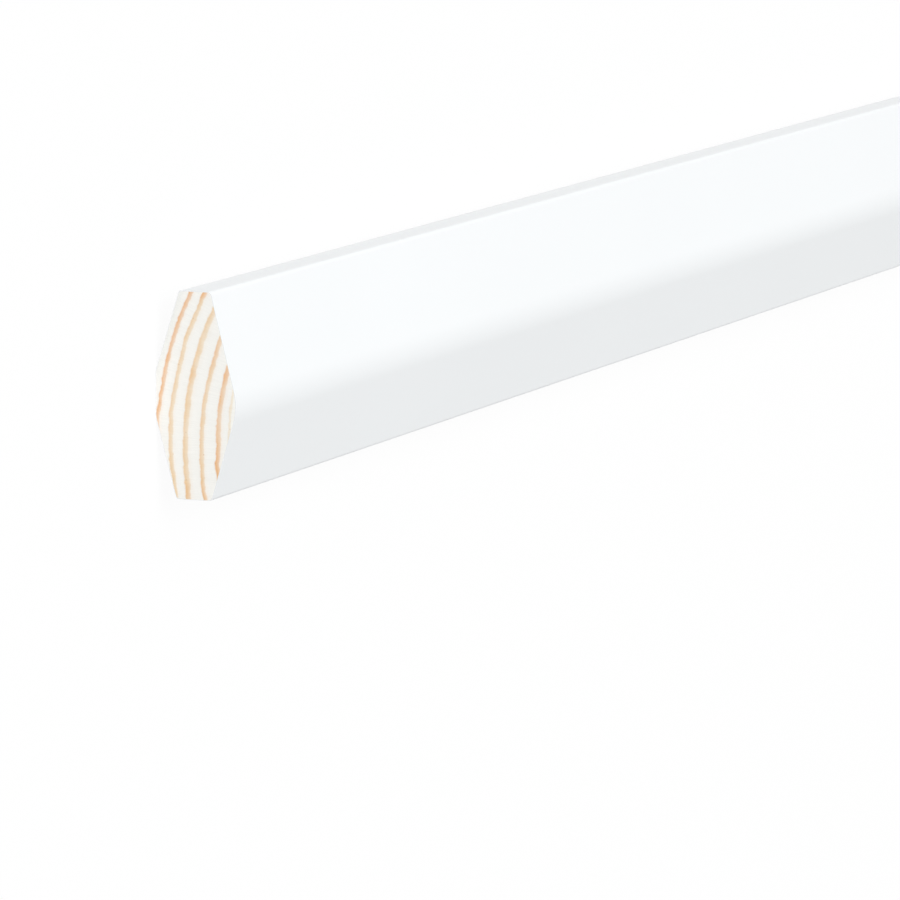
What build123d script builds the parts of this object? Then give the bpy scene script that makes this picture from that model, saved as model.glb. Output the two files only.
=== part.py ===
from build123d import *

import os
from math import asin, atan2, copysign, cos, hypot, sin

# A length of cornice moulding, planed from one piece of pine and coated white.
#
# The section is a flattened hexagon. The back flat goes against the wall and the upper edge meets
# the ceiling. Two bevels join the back flat to the edges, and two long sloping faces meet in a
# soft round nose at the front. The nose lies a little below mid-height, so the upper front face is
# the longer one.
#
# The moulding lies on its back flat. X runs along its length and is zero at mid-length, Y runs
# from the lower edge to the upper edge and is zero between them, and Z rises from zero at the
# back flat to the crest of the nose. All sizes are in millimetres.

# Driving dimensions
length = 2400.0  # between the two sawn ends
height = 36.0  # from the lower edge to the upper edge
thickness = 15.0  # from the back flat to the crest of the nose
edge_front = 10.4  # from the plane of the back flat to the front corner of each edge
upper_edge_width = 5.9  # the flat edge at the ceiling, before its arrises are eased
lower_edge_width = 6.6  # the flat edge below, before its arrises are eased
back_flat_width = 8.0  # the flat that touches the wall, before its heels are eased
crest_drop = 1.4  # how far the crest of the nose lies below mid-height
nose_radius = 10.5  # the round between the two front faces
front_arris_radius = 0.8  # the easing between each edge and its front face
rear_arris_radius = 0.5  # the easing between each edge and its bevel
heel_radius = 3.0  # the easing between the back flat and each bevel


# The round of the nose touches the straight line of a front face, which starts at the front corner
# of an edge. This is the point (y, z) where they touch.
def nose_tangent(front_corner):
    corner_y, corner_z = front_corner
    centre_y = -crest_drop
    centre_z = thickness - nose_radius
    run = abs(corner_y - centre_y)
    rise = corner_z - centre_z
    lean = asin(nose_radius / hypot(run, rise)) - atan2(rise, run)
    side = copysign(1, corner_y)
    return centre_y + side * nose_radius * sin(lean), centre_z + nose_radius * cos(lean)


# The four corners of the upper or the lower half of the section, from the nose round to the heel.
def half_corners(edge_y, edge_width):
    front_corner = (edge_y, edge_front)
    rear_corner = (edge_y, edge_front - edge_width)
    heel = (copysign(back_flat_width / 2, edge_y), 0)
    return [nose_tangent(front_corner), front_corner, rear_corner, heel]


# The corners that lie on the two flat edges, from the rearmost to the foremost.
def edge_corners(profile):
    columns = profile.vertices().group_by(Axis.X)
    return (columns[0] + columns[-1]).sort_by(Axis.Y)


# The cross section, on a sketch whose own first axis is Y of the moulding and whose second axis
# is Z. The line goes from the nose round the upper edge to the back flat, on round the lower edge
# to the nose again, and the nose's arc closes it.
def section():
    upper_half = half_corners(height / 2, upper_edge_width)
    lower_half = half_corners(-height / 2, lower_edge_width)
    with BuildSketch(Plane.YZ) as profile:
        with BuildLine():
            Polyline(*upper_half, *reversed(lower_half))
            ThreePointArc(lower_half[0], (-crest_drop, thickness), upper_half[0])
        make_face()
        fillet(profile.vertices().group_by(Axis.Y)[0], heel_radius)
        fillet(edge_corners(profile)[:2], rear_arris_radius)
        fillet(edge_corners(profile)[-2:], front_arris_radius)
    return profile.sketch


# The section runs both ways from mid-length, and each end is sawn square.
def moulding():
    return extrude(section(), amount=length / 2, both=True)


os.makedirs("parts", exist_ok=True)
export_step(moulding(), "parts/cornice_moulding.step")
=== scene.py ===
import math
import bpy
from mathutils import Matrix, Vector


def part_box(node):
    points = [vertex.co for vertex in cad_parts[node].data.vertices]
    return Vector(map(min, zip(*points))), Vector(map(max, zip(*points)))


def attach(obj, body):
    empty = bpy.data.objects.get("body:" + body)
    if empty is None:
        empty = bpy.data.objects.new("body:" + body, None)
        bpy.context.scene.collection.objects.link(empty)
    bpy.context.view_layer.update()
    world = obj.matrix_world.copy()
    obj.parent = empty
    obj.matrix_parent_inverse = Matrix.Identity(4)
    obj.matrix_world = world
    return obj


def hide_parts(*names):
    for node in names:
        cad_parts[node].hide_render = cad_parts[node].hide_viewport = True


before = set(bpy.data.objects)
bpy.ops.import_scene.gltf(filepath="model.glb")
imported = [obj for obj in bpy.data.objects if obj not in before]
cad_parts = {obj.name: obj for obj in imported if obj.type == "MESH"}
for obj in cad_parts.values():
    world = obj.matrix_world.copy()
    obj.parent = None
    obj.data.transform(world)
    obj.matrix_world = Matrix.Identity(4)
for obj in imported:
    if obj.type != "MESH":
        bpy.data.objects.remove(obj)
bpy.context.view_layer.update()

mm = 0.001
low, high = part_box("cornice_moulding")
middleHeight = (low.y + high.y) / 2

# Cornice moulding, lying on its back flat. X runs along it, Y from its lower edge to its upper
# edge, and Z from the back flat to the crest of the nose. Sizes are in millimetres unless a note
# says otherwise.

moulding = {
    "length": (high.x - low.x) / mm,
    "height": (high.y - low.y) / mm,
    "thickness": (high.z - low.z) / mm,
    "edgeFront": 10.4,       # from the back flat's plane to the front corner of each edge
    "upperEdge": 5.9,        # flat edges, arrises included
    "lowerEdge": 6.6,
    "backFlat": 8.0,
    "crestDrop": 1.4,        # of the nose, below mid-height
    "noseRadius": 10.5,
    "frontArris": 0.8,
    "rearArris": 0.5,
    "heelRadius": 3.0,
    "stations": 49,          # cross sections along the length, closer together near the ends
    "columns": 190,          # from the lower to the upper edge
    "rows": 60,              # from the back to the front
    "stationCrowding": 3.0,  # 1 spaces the stations evenly, above it they crowd at the ends
    "columnCrowding": 0.7,   # 0 spaces the columns evenly, towards 1 they crowd at the arrises
    "filletSteps": 24,
    "sawDepth": 0.035,       # of the saw's marks in the ends
    "sawScale": 1.1,         # marks in a millimetre across the strokes
    "sawStretch": 0.05,      # and along the strokes, as a share of that
    "ringProud": 0.03,       # how far hard latewood stands above the wood beside it
    "brokenEdge": 0.05,      # how far the ends' sharp rims are broken
    "chipScale": 1.7,        # chips in a millimetre of rim
    "sharpAngle": 0.9,       # radians, and only the sawn rims turn more than this
    "endShare": 0.001,       # of the half length: what is nearer the end lies on it
    "endShift": 40.0,        # of the saw marks' noise, one way for each end
    "seed": 7,
}

# The year rings are circles about a pith that lies in front of the nose, and below mid-height.
rings = {
    "pith": (-8.97, 59.68),  # Y and Z
    "from": 42.6,            # distances from the pith that the ring scale covers
    "to": 61.6,
    "bark": 0.15,            # how fast latewood stops on its outer side
    # Distances towards the pith, in widths of the latewood, and the strength there
    "fade": ((1.8, 0.0), (1.1, 0.13), (0.86, 0.68), (0.14, 1.0)),
    "rings": [               # outer radius, width of the latewood, strength, 0 tan to 1 orange
        (46.38, 0.40, 0.42, 0.0),
        (48.53, 0.85, 0.90, 0.75),
        (51.46, 0.78, 0.80, 0.42),
        (54.64, 1.00, 0.82, 0.3),
        (57.25, 0.78, 0.78, 0.3),
        (59.63, 0.70, 0.94, 1.0),
    ],
    "bends": [               # Y, distance from the pith, reach along the ring, push away from the pith
        (2.0, 59.3, 1.2, -0.10),
        (-4.6, 59.3, 2.2, 0.24),
        (17.5, 56.9, 1.6, 0.15),
        (10.0, 56.9, 1.8, 0.15),
        (-2.5, 56.9, 2.6, 0.22),
        (-15.8, 56.9, 2.8, -0.42),
        (-18.0, 54.2, 1.5, 0.16),
        (6.0, 51.1, 2.6, -0.15),
        (-15.8, 51.1, 2.6, 0.22),
        (-8.0, 48.1, 2.2, -0.18),
        (-12.2, 48.1, 1.3, 0.22),
        (-6.0, 46.2, 2.0, -0.20),
    ],
    "patches": [             # Y, distance, reach along the ring, gain in strength, gain towards orange
        (17.6, 56.9, 1.2, 0.40, 0.6),
        (3.5, 54.2, 1.8, 0.08, 0.2),
        (-17.0, 54.2, 2.0, 0.10, 0.3),
        (7.5, 51.1, 2.4, 0.12, 0.35),
        (-17.0, 51.1, 2.0, 0.04, 0.3),
        (3.6, 48.1, 1.4, 0.14, 0.2),
        (-11.5, 48.1, 2.4, 0.08, 0.2),
    ],
    "reachAcross": 1.3,      # of bends and patches, over the rings
    "lengthwise": 0.004,     # how fast a ring changes along the moulding, as a share of across it
    "slowWander": 0.06,      # bends of a ring over about 10
    "slowScale": 0.11,
    "fineWander": 0.26,      # ripples of a ring over about 1
    "fineScale": 0.95,
    "mottle": 0.55,          # how much the strength comes and goes along a ring
    "mottleScale": 0.4,
    "deepening": (-7.0, -16.0, 0.16),  # Y from and to, and how much stronger latewood gets there
}

pine = {
    "earlywood": (0.905, 0.890, 0.852),
    "lateTan": (0.812, 0.606, 0.340),
    "lateOrange": (0.812, 0.470, 0.244),
    "resin": (0.62, 0.36, 0.18),
    "resinShare": 0.5,
    "resinScale": 0.75,      # resin canals in a millimetre
    "resinRadii": (0.05, 0.10),  # of a canal's dark middle and of its rim, in canal spacings
    "resinFrom": 0.25,       # only latewood of this strength has canals
    "rayTint": 0.05,
    "rayHeight": 0.006,
    "rayScale": (6.0, 0.25, 0.05),  # along a ring, across the rings and along the moulding
    "rayDistance": 52.0,     # from the pith, where the first of these holds
    "fibreTint": 0.05,
    "fibreHeight": 0.012,
    "fibreScale": 9.0,
    "fibreStretch": 0.02,    # how fast fibres change along the moulding, as a share of across it
    "roughness": 0.72,
    "bevelShadeTint": (0.955, 0.968, 0.972),  # painted shade: a grey tint on the wood beside the upper bevel
    "bevelShadeDepth": (0.5, 1.1),  # where the painted shade starts to fade and where it ends
    "filmThickness": 0.11,   # the white coat's cut edge round the ends
    "filmRagged": 0.05,
    "filmRougher": 0.1,      # than the coat's face
    "filmNose": 2.3,         # how widely the film rounds at the nose, the heels and the arrises
    "filmHeel": 0.21,
    "filmArris": 0.8,
}

coat = {
    "colour": (0.826, 0.839, 0.849),
    "toneSwing": 0.02,       # of the colour, in wide soft patches
    "toneScale": 0.02,
    "roughness": 0.42,
    "glossSwing": 0.08,      # of the roughness, with the peel
    "peelSize": 1.6,
    "peelStretch": (0.7, 1.0, 1.0),
    "peelHeight": 0.0016,
    "grainHeight": 0.003,    # of the year rings that show through
}

# A map for flat pictures of the surface: both ends large, the long faces as strips. Each number
# is a share of the map's height, where a strip starts or how wide it is.
mapLayout = {
    "front": 0.01,
    "back": 0.19,
    "faceWidth": 0.17,
    "upperEdge": 0.37,
    "lowerEdge": 0.41,
    "edgeWidth": 0.03,
    "nearEnd": 0.45,
    "farEnd": 0.725,
    "endWidth": 0.265,
    "margin": 0.005,         # at the left and right borders
}


def socketOf(value):
    return value.outputs[0] if isinstance(value, bpy.types.Node) else value


# One node, with its settings, its inputs by name or number, and its links.
def put(tree, kind, inputs=None, **settings):
    node = tree.nodes.new(kind)
    for name, value in settings.items():
        setattr(node, name, value)
    for name, value in (inputs or {}).items():
        value = socketOf(value)
        if isinstance(value, bpy.types.NodeSocket):
            tree.links.new(value, node.inputs[name])
        else:
            node.inputs[name].default_value = value
    return node


def calc(tree, operation, *values):
    return put(tree, "ShaderNodeMath", dict(enumerate(values)), operation=operation).outputs[0]


# A Mix node takes numbers on its sockets 2 and 3, and colours on 6 and 7
def mixNumbers(tree, share, a, b):
    return put(tree, "ShaderNodeMix", {0: share, 2: a, 3: b}).outputs[0]


def mixColours(tree, share, a, b, blend="MIX"):
    inputs = {0: share, 6: a, 7: b}
    return put(tree, "ShaderNodeMix", inputs, data_type="RGBA", blend_type=blend).outputs[2]


def remap(tree, value, first, last, atFirst, atLast):
    inputs = {0: value, 1: first, 2: last, 3: atFirst, 4: atLast}
    return put(tree, "ShaderNodeMapRange", inputs).outputs[0]


def noise(tree, place, scale, detail):
    return put(tree, "ShaderNodeTexNoise", {"Vector": place, "Scale": scale, "Detail": detail}).outputs[0]


def combine(tree, x=0.0, y=0.0, z=0.0):
    return put(tree, "ShaderNodeCombineXYZ", {0: x, 1: y, 2: z}).outputs[0]


def separate(tree, vector):
    return put(tree, "ShaderNodeSeparateXYZ", {0: vector}).outputs


def opaque(colour):
    return (*colour, 1.0)


def shade(tree, colour, tone):
    return mixColours(tree, 1.0, colour, combine(tree, tone, tone, tone), "MULTIPLY")


# 1 at a place on a ring, falling to 0 along the ring and across the rings
def nearness(tree, y, distance, atY, atDistance, reach):
    along = calc(tree, "DIVIDE", calc(tree, "SUBTRACT", y, atY), reach)
    outward = calc(tree, "SUBTRACT", distance, atDistance)
    across = calc(tree, "DIVIDE", outward, rings["reachAcross"])
    squares = calc(tree, "MULTIPLY_ADD", along, along, calc(tree, "MULTIPLY", across, across))
    return calc(tree, "EXPONENT", calc(tree, "MULTIPLY", squares, -1.0))


# Year rings in the plane across the length, for the look of the wood and for its relief. Takes
# sockets in millimetres, and returns strength, hue, distance from the pith and turn about it.
def ringField(tree, x, y, z):
    stretched = combine(tree, calc(tree, "MULTIPLY", x, rings["lengthwise"]), y, z)
    slow = noise(tree, stretched, rings["slowScale"], 1.0)
    fine = noise(tree, stretched, rings["fineScale"], 2.0)
    mottle = noise(tree, stretched, rings["mottleScale"], 1.0)
    across = calc(tree, "SUBTRACT", y, rings["pith"][0])
    deep = calc(tree, "SUBTRACT", z, rings["pith"][1])
    deepSquare = calc(tree, "MULTIPLY", deep, deep)
    distance = calc(tree, "SQRT", calc(tree, "MULTIPLY_ADD", across, across, deepSquare))
    for bendY, bendDistance, reach, push in rings["bends"]:
        near = nearness(tree, y, distance, bendY, bendDistance, reach)
        distance = calc(tree, "MULTIPLY_ADD", near, -push, distance)
    for ripple, reach in ((slow, rings["slowWander"]), (fine, rings["fineWander"])):
        swing = calc(tree, "MULTIPLY", calc(tree, "SUBTRACT", ripple, 0.5), 2 * reach)
        distance = calc(tree, "ADD", distance, swing)
    span = rings["to"] - rings["from"]
    share = calc(tree, "DIVIDE", calc(tree, "SUBTRACT", distance, rings["from"]), span)
    ramp = put(tree, "ShaderNodeValToRGB", {0: share})
    stops = ramp.color_ramp.elements
    stops.remove(stops[1])
    stops[0].position = 0.0
    stops[0].color = opaque((0.0, 0.0, 0.0))
    for outer, width, strength, hue in rings["rings"]:
        for reach, level in rings["fade"]:
            stop = stops.new((outer - reach * width - rings["from"]) / span)
            stop.color = opaque((strength * level, hue, 0.0))
        stop = stops.new((outer + rings["bark"] - rings["from"]) / span)
        stop.color = opaque((0.0, hue, 0.0))
    strength, hue, _ = separate(tree, ramp.outputs[0])
    first, last, deeper = rings["deepening"]
    gain = remap(tree, y, first, last, 1.0, 1.0 + deeper)
    gain = calc(tree, "MULTIPLY_ADD", calc(tree, "SUBTRACT", mottle, 0.5), rings["mottle"], gain)
    for patchY, patchDistance, reach, stronger, redder in rings["patches"]:
        near = nearness(tree, y, distance, patchY, patchDistance, reach)
        gain = calc(tree, "MULTIPLY_ADD", near, stronger, gain)
        hue = calc(tree, "MULTIPLY_ADD", near, redder, hue)
    strength = calc(tree, "MINIMUM", calc(tree, "MULTIPLY", strength, gain), 1.0)
    hue = calc(tree, "MINIMUM", hue, 1.0)
    turn = calc(tree, "ARCTAN2", across, deep)
    return strength, hue, distance, turn


def newGroup(name, kind, inputs, outputs):
    tree = bpy.data.node_groups.new(name, kind)
    for label, socketType in inputs:
        tree.interface.new_socket(label, in_out="INPUT", socket_type=socketType)
    for label, socketType in outputs:
        tree.interface.new_socket(label, in_out="OUTPUT", socket_type=socketType)
    return tree, put(tree, "NodeGroupInput").outputs, put(tree, "NodeGroupOutput").inputs


# The slope of the front face that starts at the upper edge, for side 1, or the lower one, for -1.
def frontLean(side):
    run = moulding["height"] / 2 + side * moulding["crestDrop"]
    rise = moulding["edgeFront"] - moulding["thickness"] + moulding["noseRadius"]
    return math.asin(moulding["noseRadius"] / math.hypot(run, rise)) - math.atan2(rise, run)


# Y and Z of the corner where the two front faces would meet if the nose weren't rounded.
def noseCorner():
    upper, lower = math.tan(frontLean(1)), math.tan(frontLean(-1))
    half = moulding["height"] / 2
    y = half * (upper - lower) / (upper + lower)
    return y, moulding["edgeFront"] + (half - y) * upper


# The line from the lower edge to the upper edge, on the front or on the back, with its corners
# rounded. It starts and ends on the flat edges.
def sectionLine(tree, corners, radii, steps):
    line = put(tree, "GeometryNodeMeshLine", {"Count": len(corners)})
    index = put(tree, "GeometryNodeInputIndex")
    places = put(tree, "GeometryNodeIndexSwitch", data_type="VECTOR")
    rounds = put(tree, "GeometryNodeIndexSwitch", data_type="FLOAT")
    for chooser, values in ((places, corners), (rounds, radii)):
        while len(chooser.index_switch_items) < len(values):
            chooser.index_switch_items.new()
        tree.links.new(index.outputs[0], chooser.inputs["Index"])
        for number, value in enumerate(values):
            tree.links.new(value, chooser.inputs[str(number)])
    placed = put(tree, "GeometryNodeSetPosition", {"Geometry": line, "Position": places})
    curve = put(tree, "GeometryNodeMeshToCurve", {0: placed})
    rounded = {"Curve": curve, "Count": steps, "Radius": rounds}
    return put(tree, "GeometryNodeFilletCurve", rounded, mode="POLY")


# A box of size 1 becomes the moulding: its rows run from the back line to the front line, its
# columns from edge to edge, and its stations along the length.
def mouldingTree():
    geometry = [("Geometry", "NodeSocketGeometry")]
    sizes = (
        "Length", "Height", "Edge Front", "Upper Edge", "Lower Edge", "Back Flat", "Nose Y", "Nose Z",
        "Nose Radius", "Front Arris", "Rear Arris", "Heel Radius", "Station Crowding", "Column Crowding",
        "Saw Depth", "Saw Scale", "Saw Stretch", "Ring Proud", "Broken Edge", "Chip Scale", "Sharp Angle",
    )
    inputs = geometry + [(name, "NodeSocketFloat") for name in sizes]
    inputs += [(name, "NodeSocketInt") for name in ("Stations", "Columns", "Rows", "Fillet Steps", "Seed")]
    inputs += [(name, "NodeSocketMaterial") for name in ("Coat", "End Grain")]
    tree, given, result = newGroup("mouldingBody", "GeometryNodeTree", inputs, geometry)
    tree.is_modifier = True

    upperY = calc(tree, "MULTIPLY", given["Height"], 0.5)
    lowerY = calc(tree, "MULTIPLY", given["Height"], -0.5)
    upperFlat = calc(tree, "MULTIPLY", given["Back Flat"], 0.5)
    lowerFlat = calc(tree, "MULTIPLY", given["Back Flat"], -0.5)
    zero = put(tree, "ShaderNodeValue").outputs[0]
    edgeFront = given["Edge Front"]
    upperRear = calc(tree, "SUBTRACT", edgeFront, given["Upper Edge"])
    lowerRear = calc(tree, "SUBTRACT", edgeFront, given["Lower Edge"])

    # Corners of the two lines with their radii, from the lower edge to the upper edge. Each line
    # starts and ends on the flat edges, one radius of an arris away from the corner.
    frontArris, rearArris, heel = given["Front Arris"], given["Rear Arris"], given["Heel Radius"]
    frontStart = calc(tree, "SUBTRACT", edgeFront, frontArris)
    front = [
        (lowerY, frontStart, zero),
        (lowerY, edgeFront, frontArris),
        (given["Nose Y"], given["Nose Z"], given["Nose Radius"]),
        (upperY, edgeFront, frontArris),
        (upperY, frontStart, zero),
    ]
    back = [
        (lowerY, calc(tree, "ADD", lowerRear, rearArris), zero),
        (lowerY, lowerRear, rearArris),
        (lowerFlat, zero, heel),
        (upperFlat, zero, heel),
        (upperY, upperRear, rearArris),
        (upperY, calc(tree, "ADD", upperRear, rearArris), zero),
    ]
    lines = []
    for corners in (front, back):
        places = [combine(tree, 0.0, y, z) for y, z, radius in corners]
        radii = [radius for y, z, radius in corners]
        lines.append(sectionLine(tree, places, radii, given["Fillet Steps"]))

    # The box, and where each of its points lies between the ends, the edges and the two lines
    points = {
        "Size": (1.0, 1.0, 1.0),
        "Vertices X": given["Stations"],
        "Vertices Y": given["Columns"],
        "Vertices Z": given["Rows"],
    }
    box = put(tree, "GeometryNodeMeshCube", points)
    along, across, through = separate(tree, put(tree, "GeometryNodeInputPosition"))
    normal = {0: put(tree, "GeometryNodeInputNormal")}
    facing = put(tree, "GeometryNodeFieldOnDomain", normal, data_type="FLOAT_VECTOR", domain="FACE")
    facingX, facingY, facingZ = separate(tree, facing)
    acrossShare = calc(tree, "ADD", across, 0.5)
    throughShare = calc(tree, "ADD", through, 0.5)

    # The map, with one side of each pair chosen by the way a face points
    onEnd = calc(tree, "GREATER_THAN", calc(tree, "ABSOLUTE", facingX), 0.5)
    onEdge = calc(tree, "GREATER_THAN", calc(tree, "ABSOLUTE", facingY), 0.5)
    isFar, isUpper, isFront = [calc(tree, "GREATER_THAN", way, 0.0) for way in (facingX, facingY, facingZ)]
    faceStart = mixNumbers(tree, isFront, mapLayout["back"], mapLayout["front"])
    edgeStart = mixNumbers(tree, isUpper, mapLayout["lowerEdge"], mapLayout["upperEdge"])
    stripStart = mixNumbers(tree, onEdge, faceStart, edgeStart)
    stripWidth = mixNumbers(tree, onEdge, mapLayout["faceWidth"], mapLayout["edgeWidth"])
    strip = mixNumbers(tree, onEdge, acrossShare, throughShare)
    stripPlace = calc(tree, "MULTIPLY_ADD", strip, stripWidth, stripStart)
    endStart = mixNumbers(tree, isFar, mapLayout["nearEnd"], mapLayout["farEnd"])
    endPlace = calc(tree, "MULTIPLY_ADD", throughShare, mapLayout["endWidth"], endStart)
    mapU = mixNumbers(tree, onEnd, calc(tree, "ADD", along, 0.5), acrossShare)
    margin = mapLayout["margin"]
    mapU = calc(tree, "MULTIPLY_ADD", mapU, 1.0 - 2 * margin, margin)
    mapV = mixNumbers(tree, onEnd, stripPlace, endPlace)
    mapping = {"Geometry": box, "Name": "OFBake", "Value": combine(tree, mapU, mapV)}
    mapped = put(tree, "GeometryNodeStoreNamedAttribute", mapping, data_type="FLOAT2", domain="CORNER")
    marking = {"Geometry": mapped, "Name": "sawn", "Value": onEnd}
    marked = put(tree, "GeometryNodeStoreNamedAttribute", marking, data_type="BOOLEAN", domain="FACE")

    # Stations crowd towards the ends, and columns towards the arrises
    side = calc(tree, "SIGN", along)
    inward = calc(tree, "MULTIPLY_ADD", calc(tree, "ABSOLUTE", along), -2.0, 1.0)
    gathered = calc(tree, "POWER", inward, given["Station Crowding"])
    reach = calc(tree, "MULTIPLY_ADD", gathered, -0.5, 0.5)
    lengthwise = calc(tree, "MULTIPLY", calc(tree, "MULTIPLY", reach, side), given["Length"])
    swell = calc(tree, "SINE", calc(tree, "MULTIPLY", acrossShare, 2 * math.pi))
    crowding = calc(tree, "DIVIDE", given["Column Crowding"], 2 * math.pi)
    column = calc(tree, "SUBTRACT", acrossShare, calc(tree, "MULTIPLY", swell, crowding))
    reached = []
    for line in lines:
        sampling = {"Curves": line, "Factor": column}
        sampled = put(tree, "GeometryNodeSampleCurve", sampling, mode="FACTOR")
        reached.append(sampled.outputs["Position"])
    blending = {0: throughShare, 4: reached[1], 5: reached[0]}  # from the back line to the front line
    between = put(tree, "ShaderNodeMix", blending, data_type="VECTOR").outputs[1]
    _, y, z = separate(tree, between)

    # Relief of the sawn ends: saw marks, softer wood between the rings, and a broken rim
    atEnd = calc(tree, "LESS_THAN", inward, moulding["endShare"])
    stroke = calc(tree, "MULTIPLY", y, given["Saw Stretch"])
    thisEnd = calc(tree, "MULTIPLY_ADD", side, moulding["endShift"], given["Seed"])
    sawMarks = noise(tree, combine(tree, thisEnd, stroke, z), given["Saw Scale"], 2.0)
    soft = calc(tree, "SUBTRACT", 1.0, ringField(tree, lengthwise, y, z)[0])
    onRim = calc(tree, "GREATER_THAN", put(tree, "GeometryNodeInputMeshEdgeAngle"), given["Sharp Angle"])
    chips = noise(tree, combine(tree, side, y, z), given["Chip Scale"], 3.0)
    depth = calc(tree, "MULTIPLY", soft, given["Ring Proud"])
    depth = calc(tree, "MULTIPLY_ADD", sawMarks, given["Saw Depth"], depth)
    depth = calc(tree, "MULTIPLY_ADD", calc(tree, "MULTIPLY", chips, onRim), given["Broken Edge"], depth)
    depth = calc(tree, "MULTIPLY", calc(tree, "MULTIPLY", depth, atEnd), side)
    place = combine(tree, calc(tree, "SUBTRACT", lengthwise, depth), y, z)
    placed = put(tree, "GeometryNodeSetPosition", {"Geometry": marked, "Position": place})

    # The long faces shade smoothly into each other, and the sawn rims stay sharp
    sawn = put(tree, "GeometryNodeInputNamedAttribute", {"Name": "sawn"}, data_type="BOOLEAN").outputs[0]
    rounded = {"Geometry": placed, "Shade Smooth": True}
    smooth = put(tree, "GeometryNodeSetShadeSmooth", rounded, domain="FACE")
    sharp = calc(tree, "GREATER_THAN", put(tree, "GeometryNodeInputMeshEdgeAngle"), given["Sharp Angle"])
    flat = {"Geometry": smooth, "Selection": sharp, "Shade Smooth": False}
    creased = put(tree, "GeometryNodeSetShadeSmooth", flat, domain="EDGE")
    inMetres = put(tree, "GeometryNodeTransform", {"Geometry": creased, "Scale": (mm, mm, mm)})
    real = put(tree, "GeometryNodeRealizeInstances", {0: inMetres})
    coated = put(tree, "GeometryNodeSetMaterial", {"Geometry": real, "Material": given["Coat"]})
    bare = {"Geometry": coated, "Selection": sawn, "Material": given["End Grain"]}
    bared = put(tree, "GeometryNodeSetMaterial", bare)
    tree.links.new(bared.outputs[0], result["Geometry"])
    return tree


# Sets a tree's named inputs on a modifier and returns the result as a plain mesh.
def grow(tree, name, values):
    seedMesh = bpy.data.meshes.new(name + "Seed")
    holder = bpy.data.objects.new(name + "Holder", seedMesh)
    bpy.context.scene.collection.objects.link(holder)
    modifier = holder.modifiers.new(tree.name, "NODES")
    modifier.node_group = tree
    for item in tree.interface.items_tree:
        if item.in_out == "INPUT" and item.name in values:
            modifier[item.identifier] = values[item.name]
    bpy.context.view_layer.update()
    graph = bpy.context.evaluated_depsgraph_get()
    grown = holder.evaluated_get(graph)
    mesh = bpy.data.meshes.new_from_object(grown, preserve_all_data_layers=True, depsgraph=graph)
    mesh.name = name
    bpy.data.objects.remove(holder)
    bpy.data.meshes.remove(seedMesh)
    piece = bpy.data.objects.new(name, mesh)
    bpy.context.scene.collection.objects.link(piece)
    return piece


# Shader group: year rings, rays and fine fibres, from a place in millimetres
def grainGroup():
    names = ("Latewood", "Hue", "Rays", "Fibres", "Resin")
    outputs = [(name, "NodeSocketFloat") for name in names]
    tree, given, result = newGroup("pineGrain", "ShaderNodeTree", [("Place", "NodeSocketVector")], outputs)
    x, y, z = separate(tree, given["Place"])
    strength, hue, distance, turn = ringField(tree, x, y, z)
    arc = calc(tree, "MULTIPLY", turn, pine["rayDistance"])
    ways = [calc(tree, "MULTIPLY", *pair) for pair in zip((arc, distance, x), pine["rayScale"])]
    rays = noise(tree, combine(tree, *ways), 1.0, 1.0)
    fibrePlace = combine(tree, calc(tree, "MULTIPLY", x, pine["fibreStretch"]), y, z)
    fibres = noise(tree, fibrePlace, pine["fibreScale"], 2.0)
    canals = put(tree, "ShaderNodeTexVoronoi", {"Vector": fibrePlace, "Scale": pine["resinScale"]})
    spots = remap(tree, canals.outputs["Distance"], *pine["resinRadii"], 1.0, 0.0)
    resin = calc(tree, "MULTIPLY", spots, calc(tree, "GREATER_THAN", strength, pine["resinFrom"]))
    for name, value in zip(names, (strength, hue, rays, fibres, resin)):
        tree.links.new(value, result[name])
    return tree


def newMaterial(name):
    material = bpy.data.materials.new(name)
    material.use_nodes = True
    tree = material.node_tree
    tree.nodes.clear()
    surface = put(tree, "ShaderNodeBsdfPrincipled")
    put(tree, "ShaderNodeOutputMaterial", {"Surface": surface})
    scaling = {0: put(tree, "ShaderNodeTexCoord").outputs["Object"], "Scale": 1 / mm}
    place = put(tree, "ShaderNodeVectorMath", scaling, operation="SCALE").outputs[0]
    return material, tree, surface, place


def useGroup(tree, group, inputs):
    node = put(tree, "ShaderNodeGroup", node_tree=group)
    for name, value in inputs.items():
        tree.links.new(value, node.inputs[name])
    return node.outputs


# Satin white coat over the long faces
def whiteCoat(grain):
    material, tree, surface, place = newMaterial("whiteCoat")
    under = useGroup(tree, grain, {"Place": place})
    stretching = {0: place, 1: coat["peelStretch"]}
    peelPlace = put(tree, "ShaderNodeVectorMath", stretching, operation="MULTIPLY")
    peel = noise(tree, peelPlace, 1 / coat["peelSize"], 2.0)
    patches = noise(tree, place, coat["toneScale"], 1.0)
    height = calc(tree, "MULTIPLY", under["Latewood"], coat["grainHeight"])
    height = calc(tree, "MULTIPLY_ADD", peel, coat["peelHeight"], height)
    bump = put(tree, "ShaderNodeBump", {"Height": height, "Distance": mm, "Strength": 1.0})
    tone = calc(tree, "MULTIPLY_ADD", patches, coat["toneSwing"], 1.0 - coat["toneSwing"] / 2)
    colour = shade(tree, opaque(coat["colour"]), tone)
    tree.links.new(colour, surface.inputs["Base Color"])
    dullest = coat["roughness"] - coat["glossSwing"] / 2
    gloss = calc(tree, "MULTIPLY_ADD", peel, coat["glossSwing"], dullest)
    tree.links.new(gloss, surface.inputs["Roughness"])
    tree.links.new(bump.outputs[0], surface.inputs["Normal"])
    return material


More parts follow.
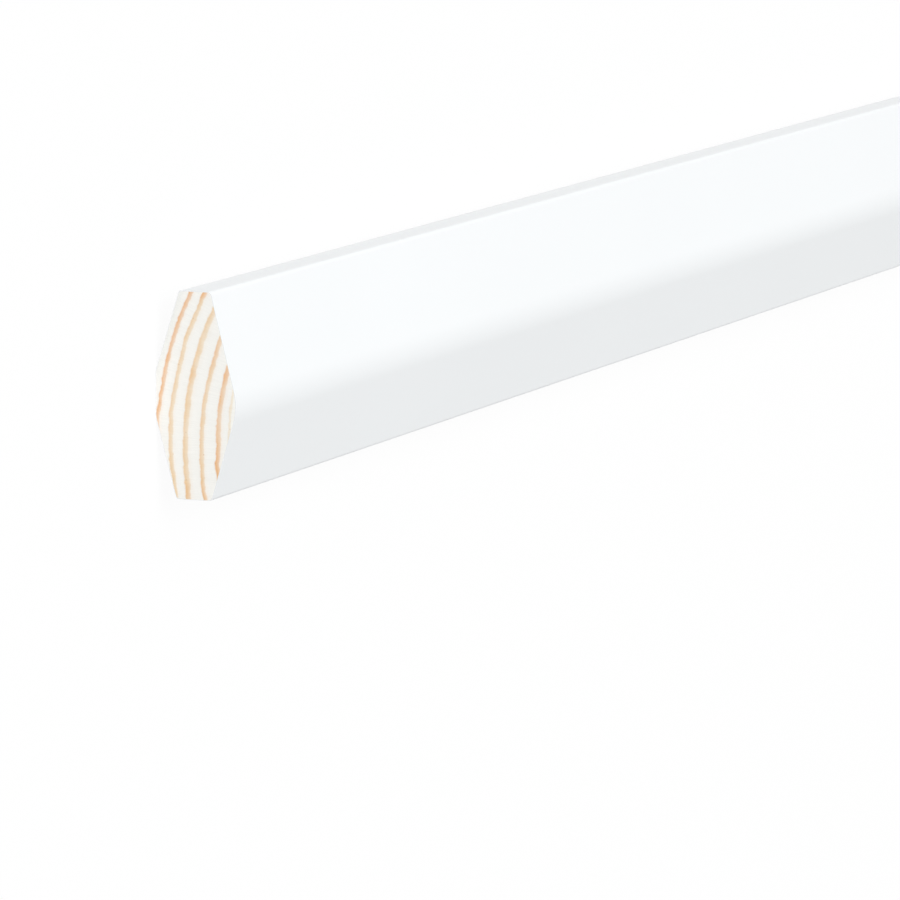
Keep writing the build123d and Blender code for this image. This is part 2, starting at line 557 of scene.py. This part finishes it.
# How deep a place lies under the nearest long face, from the section's straight lines with their
# corners rounded, and how deep it lies under the upper bevel.
def depthUnderFaces(tree, place):
    _, y, z = separate(tree, place)
    half = moulding["height"] / 2
    depth = z
    for side, edge in ((1, moulding["upperEdge"]), (-1, moulding["lowerEdge"])):
        rear = moulding["edgeFront"] - edge
        lean = frontLean(side)
        bevelLean = math.atan2(rear, half - moulding["backFlat"] / 2)
        faces = (
            (math.sin(lean), math.cos(lean), moulding["edgeFront"], pine["filmNose"]),
            (math.sin(bevelLean), -math.cos(bevelLean), rear, pine["filmHeel"]),
            (1.0, 0.0, 0.0, pine["filmArris"]),
        )
        for normalY, normalZ, throughZ, rounding in faces:
            reach = calc(tree, "MULTIPLY_ADD", y, side * normalY, calc(tree, "MULTIPLY", z, normalZ))
            under = calc(tree, "SUBTRACT", normalY * half + normalZ * throughZ, reach)
            depth = calc(tree, "SMOOTH_MIN", depth, under, rounding)
            if side > 0 and normalZ < 0:
                bevelDepth = under
    return depth, bevelDepth


# Bare end grain, with the coat's cut edge round it
def pineEndGrain(grain):
    material, tree, surface, place = newMaterial("pineEndGrain")
    wood = useGroup(tree, grain, {"Place": place})
    late = mixColours(tree, wood["Hue"], opaque(pine["lateTan"]), opaque(pine["lateOrange"]))
    colour = mixColours(tree, wood["Latewood"], opaque(pine["earlywood"]), late)
    for name, swing in (("Rays", pine["rayTint"]), ("Fibres", pine["fibreTint"])):
        colour = shade(tree, colour, calc(tree, "MULTIPLY_ADD", wood[name], 2 * swing, 1.0 - swing))
    resin = calc(tree, "MULTIPLY", wood["Resin"], pine["resinShare"])
    colour = mixColours(tree, resin, colour, opaque(pine["resin"]))
    depth, bevelDepth = depthUnderFaces(tree, place)
    # Painted shade: the wood is tinted grey beside the upper bevel, fading with depth under it
    bevelShadeShare = remap(tree, bevelDepth, *pine["bevelShadeDepth"], 1.0, 0.0)
    bevelShaded = mixColours(tree, bevelShadeShare, opaque((1.0, 1.0, 1.0)), opaque(pine["bevelShadeTint"]))
    colour = mixColours(tree, 1.0, colour, bevelShaded, "MULTIPLY")
    thinnest = pine["filmThickness"] - pine["filmRagged"] / 2
    filmDepth = calc(tree, "MULTIPLY_ADD", wood["Fibres"], pine["filmRagged"], thinnest)
    film = calc(tree, "LESS_THAN", depth, filmDepth)
    colour = mixColours(tree, film, colour, opaque(coat["colour"]))
    tree.links.new(colour, surface.inputs["Base Color"])
    filmRoughness = coat["roughness"] + pine["filmRougher"]
    roughness = mixNumbers(tree, film, pine["roughness"], filmRoughness)
    tree.links.new(roughness, surface.inputs["Roughness"])
    height = calc(tree, "MULTIPLY", wood["Rays"], pine["rayHeight"])
    height = calc(tree, "MULTIPLY_ADD", wood["Fibres"], pine["fibreHeight"], height)
    bump = put(tree, "ShaderNodeBump", {"Height": height, "Distance": mm, "Strength": 1.0})
    tree.links.new(bump.outputs[0], surface.inputs["Normal"])
    return material


# The modifier's input that a setting goes to: "edgeFront" becomes "Edge Front".
def inputName(key):
    return "".join(" " + letter if letter.isupper() else letter for letter in key).title()


def makeMoulding():
    grain = grainGroup()
    values = {inputName(key): value for key, value in moulding.items()}
    values["Nose Y"], values["Nose Z"] = noseCorner()
    values["Coat"] = whiteCoat(grain)
    values["End Grain"] = pineEndGrain(grain)
    piece = grow(mouldingTree(), "coated_moulding", values)
    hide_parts("cornice_moulding")
    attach(piece, "root")
    print("moulding:", len(piece.data.polygons), "faces")


# The photo's viewpoint: its place in metres, and the directions of the picture's right and top.
camera = {
    "place": (low.x - 1.08040, middleHeight + 0.16104, low.z + 0.49366),
    "right": (0.37651, -0.00104, 0.92641),
    "top": (0.13235, 0.98980, -0.05268),
    "lens": 280.0,           # for a sensor 36 wide
}


def makeCamera():
    data = bpy.data.cameras.new("photoCamera")
    data.lens = camera["lens"]
    data.dof.use_dof = False
    shown = bpy.data.objects.new("photoCamera", data)
    right = Vector(camera["right"]).normalized()
    back = right.cross(Vector(camera["top"])).normalized()
    top = back.cross(right)
    turn = Matrix((right, top, back)).transposed().to_4x4()
    shown.matrix_world = Matrix.Translation(camera["place"]) @ turn
    bpy.context.scene.collection.objects.link(shown)
    bpy.context.scene.camera = shown
    print("camera at", [round(value, 3) for value in shown.location])


studio = {
    "worldColour": (0.97, 1.0, 1.0),
    "worldLevel": 0.314,
    "floorSize": 60.0,       # metres
    "floorColour": (0.88, 0.88, 0.88),
    "floorWhite": 0.95,      # share of the floor's look that no shadow reaches
    "key": {
        "size": (8.0, 8.0),
        "away": 10.0,
        "towards": (-0.459, 0.349, 0.817),
        "power": 1008.0,
        "colour": (1.0, 1.0, 1.0),
    },
}


# 1 for rays that look at a surface straight, by a mirror or through glass
def seenDirectly(tree):
    path = put(tree, "ShaderNodeLightPath").outputs
    direct = calc(tree, "MAXIMUM", path["Is Camera Ray"], path["Is Glossy Ray"])
    return calc(tree, "MAXIMUM", direct, path["Is Transmission Ray"])


def makeStudio():
    world = bpy.data.worlds.new("studioWorld")
    world.use_nodes = True
    tree = world.node_tree
    tree.nodes.clear()
    light = {0: opaque(studio["worldColour"]), 1: studio["worldLevel"]}
    soft = put(tree, "ShaderNodeBackground", light)
    white = put(tree, "ShaderNodeBackground", {0: opaque((1.0, 1.0, 1.0)), 1: 1.0})
    shown = put(tree, "ShaderNodeMixShader", {0: seenDirectly(tree), 1: soft, 2: white})
    put(tree, "ShaderNodeOutputWorld", {0: shown})
    bpy.context.scene.world = world

    floorMaterial = bpy.data.materials.new("paleFloor")
    floorMaterial.use_nodes = True
    floorMaterial.cycles.emission_sampling = "NONE"
    tree = floorMaterial.node_tree
    tree.nodes.clear()
    matt = put(tree, "ShaderNodeBsdfDiffuse", {0: opaque(studio["floorColour"])})
    bright = put(tree, "ShaderNodeEmission", {0: opaque((1.0, 1.0, 1.0)), 1: 1.0})
    share = calc(tree, "MULTIPLY", seenDirectly(tree), studio["floorWhite"])
    look = put(tree, "ShaderNodeMixShader", {0: share, 1: matt, 2: bright})
    put(tree, "ShaderNodeOutputMaterial", {0: look})
    bpy.ops.mesh.primitive_plane_add(size=studio["floorSize"], location=(0.0, 0.0, 0.0))
    floor = bpy.context.object
    floor.name = "paleFloor"
    floor.data.materials.append(floorMaterial)

    lamp = studio["key"]
    data = bpy.data.lights.new("keyPanel", "AREA")
    data.shape = "RECTANGLE"
    data.size, data.size_y = lamp["size"]
    data.energy = lamp["power"]
    data.color = lamp["colour"]
    panel = bpy.data.objects.new("keyPanel", data)
    towards = Vector(lamp["towards"]).normalized()
    panel.location = towards * lamp["away"]
    panel.rotation_euler = towards.to_track_quat("Z", "X").to_euler()
    bpy.context.scene.collection.objects.link(panel)
    print("studio: floor, world and one soft panel")


makeCamera()
makeMoulding()
makeStudio()
bpy.context.scene.view_settings.view_transform = "Standard"
